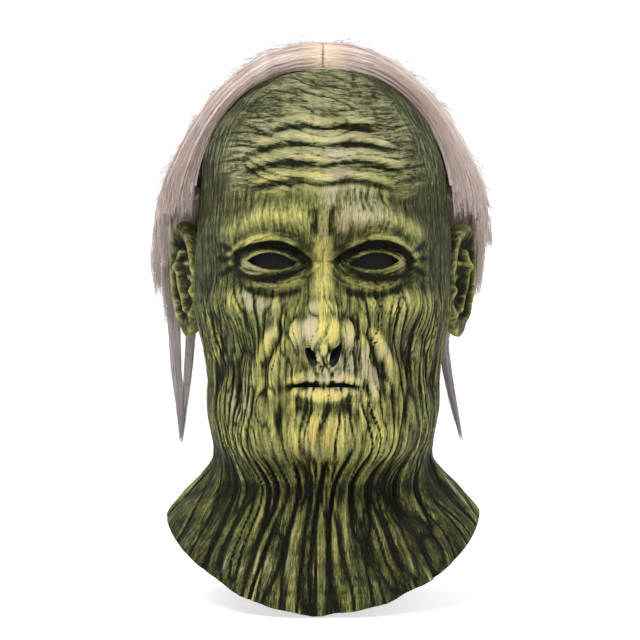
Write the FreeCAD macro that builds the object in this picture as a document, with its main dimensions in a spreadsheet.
"""Full-head latex costume mask with a glued-on fringe of synthetic hair, in millimetres.

Frame: +Z up, the face looks along -Y, the mask's own left side is +X.
Origin: the middle of the head cavity, on the eye line and over the ear canals.

The skin is one slush-cast latex wall. Here it is divided where it bends in use (the two nape
flaps beside the rear slit, and the bib) and along the jaw and the mould's parting line.
Every curved piece is cut from a few nested forms that share one table of stations.
"""

import FreeCAD, Part
import math
import os

Vector = FreeCAD.Vector
doc = FreeCAD.newDocument("latex_mask")
sheet = doc.addObject("Spreadsheet::Sheet", "dimensions")

# ---------------------------------------------------------------- driving dimensions

DIMENSIONS = {
    "wall": 2.4,               # latex wall
    "pad_thick": 7.0,          # foam fitting pads
    "scrim_thick": 0.8,        # black eye mesh, and the gauze patch
    "label_thick": 0.5,        # blank care label
    "track_thick": 1.4,        # stitched band of a hair weft
    "track_width": 7.0,
    "hair_gap": 0.3,           # hair stands this far off the latex
    "nape_hair_thick": 6.0,
    "reach": 320.0,            # cutters run this far, past the whole mask
    "parting": 36.0,           # mould parting line, behind the ears
    "jaw_line": -136.0,        # the head above, the neck below
    "shoulder": -163.0,        # the rim's highest points, over the shoulders
    "rim_half": 104.0,         # half width of the trimmed rim
    "rim_drop": 61.0,          # how far the rim dips at the middle
    "eye_half_gap": 33.0,      # from the middle to each eye opening's centre
    "eye_half_width": 15.0,
    "eye_half_height": 6.0,
    "scrim_half_width": 22.0,
    "scrim_half_height": 13.0,
    "nostril_half_gap": 8.0,
    "nostril_radius": 3.4,
    "nostril_depth": -104.0,   # how far forward the nostrils lie
    "nostril_low": -76.0,
    "nostril_height": 26.0,
    "mouth_level": -78.0,
    "mouth_half_width": 22.0,
    "mouth_open": 2.6,
    "ear_out": 92.0,           # centre of the ear's dish
    "ear_back": 15.0,
    "ear_level": -9.0,
    "ear_thick": 9.0,
    "ear_deep": 23.0,
    "ear_high": 40.0,
    "ear_flare": -30.0,        # turned outwards at the back, degrees
    "concha_thick": 7.0,
    "concha_deep": 14.0,
    "concha_high": 26.0,
    "concha_out": 9.0,
    "slit_half": 0.7,          # half the gap of the rear slit
    "slit_top": -57.0,
    "slit_stop_radius": 2.0,   # round hole that stops the slit from tearing on
    "flap_half": 44.0,         # from the slit to the line where a flap bends
    "flap_gap": 0.6,
    "flap_top": -70.0,
    "flap_lean": 8.0,          # the bend line leans out at the bottom, degrees
    "bib_level": -150.0,       # the line where the bib bends
    "bib_side": -25.0,
    "bib_gap": 0.5,
    "hairline": -16.0,
    "row_front": 24.0,         # hair rows, from the hairline to the nape
    "row_crown": 98.0,
    "row_upper": 60.0,
    "row_mid": 18.0,
    "row_low": -54.0,
    "back_half": 62.0,         # back rows are this wide each side
    "curtain_gap": 0.8,        # the lowest back row hangs free of its neighbours
    "curtain_lift": 30.0,      # and can be lifted this far, degrees
    "curtain_hinge": 99.0,      # where the slope begins, behind the ears
    "temple_low": -28.0,
    "over_ear": 38.0,
    "nape_inner": 5.0,
    "nape_outer": 36.0,
    "nape_top": -74.0,
    "nape_low": -112.0,
    "lock_out": 92.0,          # root of a hanging lock
    "lock_back": 50.0,
    "lock_top": -30.5,
    "lock_length": 92.0,
    "lock_root": 2.0,
    "lock_belly": 6.0,
    "lock_tip": 0.8,
    "crown_pad_radius": 42.0,
    "brow_pad_half": 42.0,
    "brow_pad_low": 62.0,
    "brow_pad_high": 88.0,
    "cheek_pad_low": -88.0,
    "cheek_pad_high": -46.0,
    "cheek_pad_front": -42.0,
    "cheek_pad_back": 12.0,
    "rear_pad_half": 34.0,
    "rear_pad_low": 18.0,
    "rear_pad_high": 58.0,
    "patch_half": 17.0,
    "patch_low": -53.0,
    "patch_high": -27.0,
    "label_half": 17.0,
    "label_low": -20.0,
    "label_high": -4.0,
}

# One station per level: height, half width, depth in front, depth behind, and how far the
# nose stands out there.
SKIN_STATIONS = {
    "hem": (-245, 134, 108, 104, 0),
    "chest": (-220, 130, 98, 97, 0),
    "collar": (-195, 122, 83, 90, 0),
    "yoke": (-172, 110, 68, 84, 0),
    "shoulders": (-156, 98, 59, 79, 0),
    "throat": (-143, 84, 56, 76, 0),
    "underjaw": (-131, 72, 74, 74, 0),
    "chin": (-117, 70, 97, 76, 0),
    "underlip": (-97, 74, 94, 78, 0),
    "mouth": (-79, 77, 98, 81, 0),
    "lip": (-64, 79, 97, 84, 2),
    "nose_base": (-50, 81, 94, 87, 40),
    "cheekbone": (-30, 84.5, 93, 93, 30),
    "eye": (0, 87, 95, 101, 13),
    "brow": (35, 88, 103, 107, 0),
    "forehead": (70, 84, 95, 104, 0),
    "scalp": (101, 69, 74, 87, 0),
    "top": (123, 46, 46, 62, 0),
}
CROWN = {"crown_level": 132.0, "crown_half": 22.0, "crown_back": 4.0}

HAIR_STATIONS = {
    "tips": (-90, 98, 98, 106),
    "curtain": (-60, 102, 102, 110),
    "lobe": (-28, 107, 107, 117),
    "canal": (5, 112, 112, 122),
    "over": (38, 115, 115, 124),
    "side": (78, 97, 97, 117),
    "upper": (110, 79, 79, 98),
    "ridge": (137, 50, 50, 68),
}
HAIR_CROWN = {"hair_level": 149.0, "hair_half": 24.0}

COLUMNS = 36                   # poles round each station
SQUARE_FRONT = 2.25            # superellipse exponents of a station's outline
SQUARE_BACK = 2.1

cells = {}


def put(alias, value):
    """One plain number in the sheet, under its own alias."""
    row = len(cells) + 1
    sheet.set(f"A{row}", alias)
    sheet.set(f"B{row}", repr(float(value)))
    sheet.setAlias(f"B{row}", alias)
    cells[alias] = float(value)


for alias, value in {**DIMENSIONS, **CROWN, **HAIR_CROWN}.items():
    put(alias, value)
for name, (level, half, front, back, nose) in SKIN_STATIONS.items():
    for field, value in zip(("level", "half", "front", "back", "nose"), (level, half, front, back, nose)):
        put(f"skin_{name}_{field}", value)
for name, station in HAIR_STATIONS.items():
    for field, value in zip(("level", "half", "front", "back"), station):
        put(f"hair_{name}_{field}", value)
doc.recompute()


def size(alias):
    """A driving dimension as it stands in the sheet."""
    return float(sheet.get(alias))


# ---------------------------------------------------------------- nested forms


def outline(level, half, front, back, nose=0.0):
    """The poles of one station: a superellipse, pulled forward at the nose."""
    poles = []
    for column in range(COLUMNS):
        turn = 2 * math.pi * column / COLUMNS
        ahead, aside = math.cos(turn), math.sin(turn)
        power = 2 / (SQUARE_FRONT if ahead > 0 else SQUARE_BACK)
        x = half * math.copysign(abs(aside) ** power, aside)
        y = (-front if ahead > 0 else back) * abs(ahead) ** power
        share = {0: 1.0, 1: 0.12, COLUMNS - 1: 0.12}.get(column, 0.0)
        poles.append(Vector(x, y - nose * share, level))
    return poles


def skin_rows(offset, straight_below=None):
    """The mask's stations moved out by offset. Below straight_below they hang straight down."""
    rows = []
    for name in SKIN_STATIONS:
        level, half, front, back, nose = (
            size(f"skin_{name}_{field}") for field in ("level", "half", "front", "back", "nose")
        )
        if straight_below is not None and level < straight_below:
            half, front, back = (size(f"skin_eye_{field}") for field in ("half", "front", "back"))
            nose = 0.0
        rise = min(1.0, max(0.0, (level - 30) / (size("crown_level") - 30))) ** 1.3
        grow = offset * math.sqrt(1 - rise * rise)
        rows.append(outline(level + offset * rise, half + grow, front + grow, back + grow, nose))
    return rows


def hair_rows():
    """The stations of the hair's outer surface."""
    return [
        outline(*(size(f"hair_{name}_{field}") for field in ("level", "half", "front", "back")))
        for name in HAIR_STATIONS
    ]


def form(name, rows, level, half):
    """A closed solid under a smooth surface through the rows, closed flat below and round at the crown."""
    back = size("crown_back")
    ring = outline(level, half, half, half)
    rows = rows + [[pole + Vector(0, back, 0) for pole in ring], [Vector(0, back, level)] * COLUMNS]
    spans = len(rows) - 3
    surface = Part.BSplineSurface()
    surface.buildFromPolesMultsKnots(
        [list(column) for column in zip(*rows)],
        [1] * (COLUMNS + 1),
        [4] + [1] * (spans - 1) + [4],
        [i / COLUMNS for i in range(COLUMNS + 1)],
        [i / spans for i in range(spans + 1)],
        True,
        False,
        3,
        3,
    )
    floor = Part.Face(Part.Wire([surface.vIso(0.0).toShape()]))
    solid = Part.Solid(Part.Shell([surface.toShape(), floor]))
    if solid.Volume < 0:
        solid.reverse()
    feature = doc.addObject("Part::Feature", name)
    feature.Shape = solid
    return feature


def skin_form(name, offset, straight_below=None):
    """A form like the mask's outer surface, moved out by offset."""
    rows = skin_rows(offset, straight_below)
    return form(name, rows, size("crown_level") + offset, size("crown_half"))


wall, hair_gap = size("wall"), size("hair_gap")
outer_form = skin_form("outer_form", 0.0)
cavity_form = skin_form("cavity_form", -wall)
pad_form = skin_form("pad_form", -wall - size("pad_thick"))
scrim_form = skin_form("scrim_form", -wall - size("scrim_thick"))
label_form = skin_form("label_form", -wall - size("label_thick"))
track_form = skin_form("track_form", size("track_thick"))
nape_hair_form = skin_form("nape_hair_form", size("nape_hair_thick"))
hair_bed_form = skin_form("hair_bed_form", hair_gap, straight_below=0.0)
hair_form = form("hair_form", hair_rows(), size("hair_level"), size("hair_half"))

# ---------------------------------------------------------------- parametric helpers


def bind(feature, **expressions):
    """Binds properties to sheet expressions. A bare alias in braces becomes a cell reference."""
    for path, text in expressions.items():
        feature.setExpression(path.replace("__", "."), cell_text(text))


def cell_text(text):
    """'{wall} + 1' becomes 'dimensions.wall + 1'."""
    return text.replace("{", "dimensions.").replace("}", "")


def place(feature, x="0", y="0", z="0"):
    """Binds a feature's position."""
    for axis, text in zip("xyz", (x, y, z)):
        feature.setExpression(f".Placement.Base.{axis}", cell_text(text))


def block(name, x, y, z):
    """A box from a pair of expressions on each axis."""
    box = doc.addObject("Part::Box", name)
    for path, (low, high) in zip(("Length", "Width", "Height"), (x, y, z)):
        box.setExpression(path, cell_text(f"({high}) - ({low})"))
    place(box, x[0], y[0], z[0])
    return box


def cut(name, base, tool):
    feature = doc.addObject("Part::Cut", name)
    feature.Base, feature.Tool = base, tool
    return feature


def common(name, *shapes):
    feature = doc.addObject("Part::MultiCommon", name)
    feature.Shapes = list(shapes)
    return feature


def fuse(name, *shapes):
    feature = doc.addObject("Part::MultiFuse", name)
    feature.Shapes = list(shapes)
    return feature


def mirrored(name, source):
    """The same piece on the mask's right side."""
    feature = doc.addObject("Part::Mirroring", name)
    feature.Source, feature.Normal, feature.Base = source, Vector(1, 0, 0), Vector(0, 0, 0)
    return feature


def oval_prism(name, half_width, half_height, x, z, y=("-{reach}", "0")):
    """An upright oval run along Y."""
    oval = doc.addObject("Part::Ellipse", name + "_oval")
    bind(oval, MajorRadius=half_width, MinorRadius=half_height)
    oval.Placement = FreeCAD.Placement(Vector(), FreeCAD.Rotation(Vector(1, 0, 0), 90))
    place(oval, x, y[0], z)
    prism = doc.addObject("Part::Extrusion", name)
    prism.Base, prism.DirMode, prism.Solid = oval, "Custom", True
    prism.Dir = Vector(0, 1, 0)
    bind(prism, LengthFwd=f"({y[1]}) - ({y[0]})")
    return prism


WIDE = ("-{reach}", "{reach}")
ABOVE = "{reach}"
BELOW = "-{reach}"
subparts = {}


def keep(label, feature):
    """Names a finished sub-part."""
    feature.Label = label
    subparts[label] = feature
    return feature


# ---------------------------------------------------------------- the latex skin


def trimmed_skin():
    """The cast wall, trimmed at the rim and opened at the eyes, nostrils, mouth and rear slit."""
    casting = cut("casting", outer_form, cavity_form)
    above = block("above_shoulders", WIDE, WIDE, ("{shoulder}", ABOVE))
    apron = oval_prism("apron", "{rim_half}", "{rim_drop}", "0", "{shoulder}", WIDE)
    trimmed = common("trimmed", casting, fuse("kept_side", above, apron))

    left_eye = oval_prism("left_eye_cut", "{eye_half_width}", "{eye_half_height}", "{eye_half_gap}", "0")
    nostril = doc.addObject("Part::Cylinder", "left_nostril_cut")
    bind(nostril, Radius="{nostril_radius}", Height="{nostril_height}")
    place(nostril, "{nostril_half_gap}", "{nostril_depth}", "{nostril_low}")
    mouth = block(
        "mouth_cut",
        ("-{mouth_half_width}", "{mouth_half_width}"),
        (BELOW, "-40"),
        ("{mouth_level} - {mouth_open} / 2", "{mouth_level} + {mouth_open} / 2"),
    )
    slit = block("slit_cut", ("-{slit_half}", "{slit_half}"), ("0", ABOVE), (BELOW, "{slit_top}"))
    stop = oval_prism(
        "slit_stop", "{slit_stop_radius}", "{slit_stop_radius}", "0", "{slit_top}", ("0", ABOVE)
    )
    openings = fuse(
        "openings",
        left_eye,
        mirrored("right_eye_cut", left_eye),
        nostril,
        mirrored("right_nostril_cut", nostril),
        mouth,
        slit,
        stop,
    )
    return cut("open_skin", trimmed, openings)


def flap_zone(name, spare):
    """The space of the left nape flap, its bend line leaning out at the bottom. spare makes it larger."""
    zone = doc.addObject("Part::Box", name)
    bind(zone, Length=f"{{flap_half}} + {spare}", Width="{reach}", Height=f"{{reach}} + {spare}")
    zone.Placement = FreeCAD.Placement(
        Vector(), FreeCAD.Rotation(Vector(1, 0, 0), size("flap_lean"))
    )
    run = math.radians(size("flap_lean"))
    down = f"({{reach}}) * {math.cos(run):.6f}"
    out = f"({{reach}}) * {math.sin(run):.6f}"
    place(zone, "0", f"20 + {out}", f"{{flap_top}} + {spare} - {down}")
    return zone


open_skin = trimmed_skin()
front_half = block("front_half", WIDE, (BELOW, "{parting}"), (BELOW, ABOVE))
rear_half = block("rear_half", WIDE, ("{parting}", ABOVE), (BELOW, ABOVE))
head_zone = block("head_zone", WIDE, (BELOW, "{parting}"), ("{jaw_line}", ABOVE))
neck_zone = block("neck_zone", WIDE, (BELOW, "{parting}"), (BELOW, "{jaw_line}"))
bib_zone = block("bib_zone", WIDE, (BELOW, "{bib_side}"), (BELOW, "{bib_level} - {bib_gap}"))
bib_clear = block("bib_clear", WIDE, (BELOW, "{bib_side} + {bib_gap}"), (BELOW, "{bib_level}"))
flap = flap_zone("left_flap_zone", "0")
flap_clear = flap_zone("left_flap_clear", "{flap_gap}")

keep("face_skin", common("face_skin", open_skin, head_zone))
keep("neck_skin", cut("neck_skin", common("neck_ring", open_skin, neck_zone), bib_clear))
keep("bib_skin", common("bib_skin", open_skin, bib_zone))
both_clear = fuse("both_flap_clear", flap_clear, mirrored("right_flap_clear", flap_clear))
keep("rear_skin", cut("rear_skin", common("rear_wall", open_skin, rear_half), both_clear))
left_flap = keep("left_nape_flap", common("left_nape_flap", open_skin, rear_half, flap))
keep("right_nape_flap", mirrored("right_nape_flap", left_flap))


def ear():
    """A dished ear, flared outwards at the back, that ends on the head's surface."""
    turn = FreeCAD.Rotation(Vector(0, 0, 1), size("ear_flare"))
    dish = doc.addObject("Part::Ellipsoid", "ear_dish")
    bind(dish, Radius1="{ear_high}", Radius2="{ear_thick}", Radius3="{ear_deep}")
    dish.Placement = FreeCAD.Placement(Vector(), turn)
    place(dish, "{ear_out}", "{ear_back}", "{ear_level}")
    hollow = doc.addObject("Part::Ellipsoid", "ear_concha")
    bind(hollow, Radius1="{concha_high}", Radius2="{concha_thick}", Radius3="{concha_deep}")
    hollow.Placement = FreeCAD.Placement(Vector(), turn)
    place(hollow, "{ear_out} + {concha_out}", "{ear_back} - 4", "{ear_level}")
    return cut("left_ear", cut("ear_shell", dish, hollow), outer_form)


left_ear = keep("left_ear", ear())
keep("right_ear", mirrored("right_ear", left_ear))

# ---------------------------------------------------------------- what is glued inside


def lining(name, inner_form, zone):
    """A layer that lies on the inside of the latex, as far in as inner_form."""
    return cut(name, common(name + "_blank", cavity_form, zone), inner_form)


eye_zone = oval_prism("scrim_zone", "{scrim_half_width}", "{scrim_half_height}", "{eye_half_gap}", "0")
left_scrim = keep("left_eye_scrim", lining("left_eye_scrim", scrim_form, eye_zone))
keep("right_eye_scrim", mirrored("right_eye_scrim", left_scrim))

crown_zone = doc.addObject("Part::Cylinder", "crown_pad_zone")
bind(crown_zone, Radius="{crown_pad_radius}", Height="{reach}")
place(crown_zone, "0", "{crown_back}", "0")
keep("crown_pad", lining("crown_pad", pad_form, crown_zone))

INSIDE_PATCHES = {
    "brow_pad": (pad_form, "brow_pad", (BELOW, "0"), ("-{brow_pad_half}", "{brow_pad_half}")),
    "rear_pad": (pad_form, "rear_pad", ("0", ABOVE), ("-{rear_pad_half}", "{rear_pad_half}")),
    "slit_patch": (scrim_form, "patch", ("0", ABOVE), ("-{patch_half}", "{patch_half}")),
    "care_label": (label_form, "label", ("0", ABOVE), ("-{label_half}", "{label_half}")),
}
for label, (inner_form, stem, along, across) in INSIDE_PATCHES.items():
    zone = block(label + "_zone", across, along, (f"{{{stem}_low}}", f"{{{stem}_high}}"))
    keep(label, lining(label, inner_form, zone))

cheek_zone = block(
    "cheek_pad_zone",
    ("0", ABOVE),
    ("{cheek_pad_front}", "{cheek_pad_back}"),
    ("{cheek_pad_low}", "{cheek_pad_high}"),
)
left_cheek = keep("left_cheek_pad", lining("left_cheek_pad", pad_form, cheek_zone))
keep("right_cheek_pad", mirrored("right_cheek_pad", left_cheek))

# ---------------------------------------------------------------- hair rows and their bands

hair_layer = cut("hair_layer", hair_form, hair_bed_form)
band_layer = cut("band_layer", track_form, outer_form)
BACK = ("-{back_half}", "{back_half}")
OUTSIDE = ("{back_half}", ABOVE)

# Each row of hair: its extent across, front to back and in height, then the band it hangs from.
ROWS = {
    "hairline": (
        (WIDE, ("{hairline}", "{row_front}"), ("{row_upper}", ABOVE)),
        (WIDE, ("{hairline}", "{hairline} + {track_width}"), ("{row_upper}", ABOVE)),
    ),
    "crown": (
        (WIDE, ("{row_front}", ABOVE), ("{row_crown}", ABOVE)),
        (WIDE, ("{row_front}", "{row_front} + {track_width}"), ("{row_crown}", ABOVE)),
    ),
    "upper_back": (
        (WIDE, ("{row_front}", ABOVE), ("{row_upper}", "{row_crown}")),
        (WIDE, ("{row_front}", ABOVE), ("{row_crown} - {track_width}", "{row_crown}")),
    ),
    "mid_back": (
        (BACK, ("{row_front}", ABOVE), ("{row_mid} - {track_width}", "{row_upper}")),
        (BACK, ("{row_front}", ABOVE), ("{row_upper} - {track_width}", "{row_upper}")),
    ),
}


def back_curtain():
    """The lowest back row. It hangs free from the lower edge of a band that the row above covers,
    and its top slopes so that lifting it brings the slope level with that row's lower edge."""
    across = ("-{back_half} + {curtain_gap}", "{back_half} - {curtain_gap}")
    fall = ("{row_low}", "{row_mid} - {track_width} - {curtain_gap}")
    slope = doc.addObject("Part::Box", "curtain_slope")
    bind(slope, Length="2 * {reach}", Width="{reach}", Height="{reach}")
    slope.Placement = FreeCAD.Placement(
        Vector(), FreeCAD.Rotation(Vector(1, 0, 0), -size("curtain_lift"))
    )
    place(slope, "-{reach}", "{curtain_hinge}", "{row_mid} - {track_width} - {curtain_gap}")
    zone = cut("curtain_zone", block("curtain_block", across, ("0", ABOVE), fall), slope)
    hair = common("back_curtain_hair", hair_layer, zone)
    height = ("{row_mid} - {track_width}", "{row_mid}")
    band = common("back_curtain_band", band_layer, block("curtain_band_zone", BACK, ("0", ABOVE), height))
    return hair, band


curtain_hair, curtain_band = back_curtain()
keep("back_curtain_hair", curtain_hair)
keep("back_curtain_band", curtain_band)
for row, (hair_zone, band_zone) in ROWS.items():
    band = common(f"{row}_weft_band", band_layer, block(f"{row}_band_zone", *band_zone))
    hair = common(f"{row}_hair_blank", hair_layer, block(f"{row}_hair_zone", *hair_zone))
    bands = fuse(f"{row}_bands", band, curtain_band) if row == "mid_back" else band
    keep(f"{row}_weft_band", band)
    keep(f"{row}_weft_hair", cut(f"{row}_weft_hair", hair, bands))


def temple_hair():
    """The hair over and behind the left ear, and the band it hangs from."""
    over = block("over_ear_zone", OUTSIDE, ("{hairline}", ABOVE), ("{over_ear}", "{row_upper}"))
    behind = block("behind_ear_zone", OUTSIDE, ("{over_ear}", ABOVE), ("{temple_low}", "{over_ear}"))
    band_zone = block(
        "temple_band_zone", OUTSIDE, ("{hairline}", ABOVE), ("{row_upper} - {track_width}", "{row_upper}")
    )
    band = common("left_temple_weft_band", band_layer, band_zone)
    blank = common("temple_blank", hair_layer, fuse("temple_zone", over, behind))
    return cut("left_temple_weft_hair", blank, band), band


def nape_hair():
    """The short row glued to the left nape flap, and its band."""
    across = ("{nape_inner}", "{nape_outer}")
    zone = block("nape_zone", across, ("0", ABOVE), ("{nape_low}", "{nape_top}"))
    band_zone = block(
        "nape_band_zone", across, ("0", ABOVE), ("{nape_top} - {track_width}", "{nape_top}")
    )
    band = common("left_nape_weft_band", band_layer, band_zone)
    blank = cut("nape_blank", common("nape_layer", nape_hair_form, zone), outer_form)
    return cut("left_nape_weft_hair", blank, band), band


def hanging_lock():
    """A long thin lock that hangs from behind the left ear, widest near its root."""
    path = (  # height below the root as a share, sideways drift, radius
        (0.0, 0.0, "lock_root"),
        (0.18, 0.0, "lock_belly"),
        (0.45, 1.0, "lock_belly"),
        (0.75, 1.5, "lock_root"),
        (1.0, 2.0, "lock_tip"),
    )
    rings = []
    for share, drift, radius in path:
        centre = Vector(
            size("lock_out") + drift,
            size("lock_back"),
            size("lock_top") - share * size("lock_length"),
        )
        rings.append(Part.Wire([Part.Circle(centre, Vector(0, 0, 1), size(radius)).toShape()]))
    lock = doc.addObject("Part::Feature", "left_hanging_lock")
    lock.Shape = Part.makeLoft(rings, True, False)
    return lock


for label, pair in (("temple", temple_hair()), ("nape", nape_hair())):
    for kind, piece in zip(("hair", "band"), pair):
        keep(f"left_{label}_weft_{kind}", piece)
        keep(f"right_{label}_weft_{kind}", mirrored(f"right_{label}_weft_{kind}", piece))
left_lock = keep("left_hanging_lock", hanging_lock())
keep("right_hanging_lock", mirrored("right_hanging_lock", left_lock))

# ---------------------------------------------------------------- check and write

doc.recompute()
for item in doc.Objects:
    if "Invalid" in item.State or "Error" in item.State:
        raise RuntimeError(f"{item.Name} failed: {item.State}")
os.makedirs("parts", exist_ok=True)
for label, feature in subparts.items():
    shape = feature.Shape
    if shape.isNull() or not shape.isValid() or not shape.Solids:
        raise RuntimeError(f"{label} is null, open or not valid")
for label, feature in subparts.items():
    shape = feature.Shape
    box = shape.BoundBox
    print(
        f"{label:26s} {len(shape.Solids)} solid  {shape.Volume / 1000:8.2f} cm3  "
        f"x {box.XMin:7.1f} {box.XMax:7.1f}  y {box.YMin:7.1f} {box.YMax:7.1f}  "
        f"z {box.ZMin:7.1f} {box.ZMax:7.1f}"
    )
    shape.exportStep(f"parts/{label}.step")
print(len(subparts), "sub-parts")
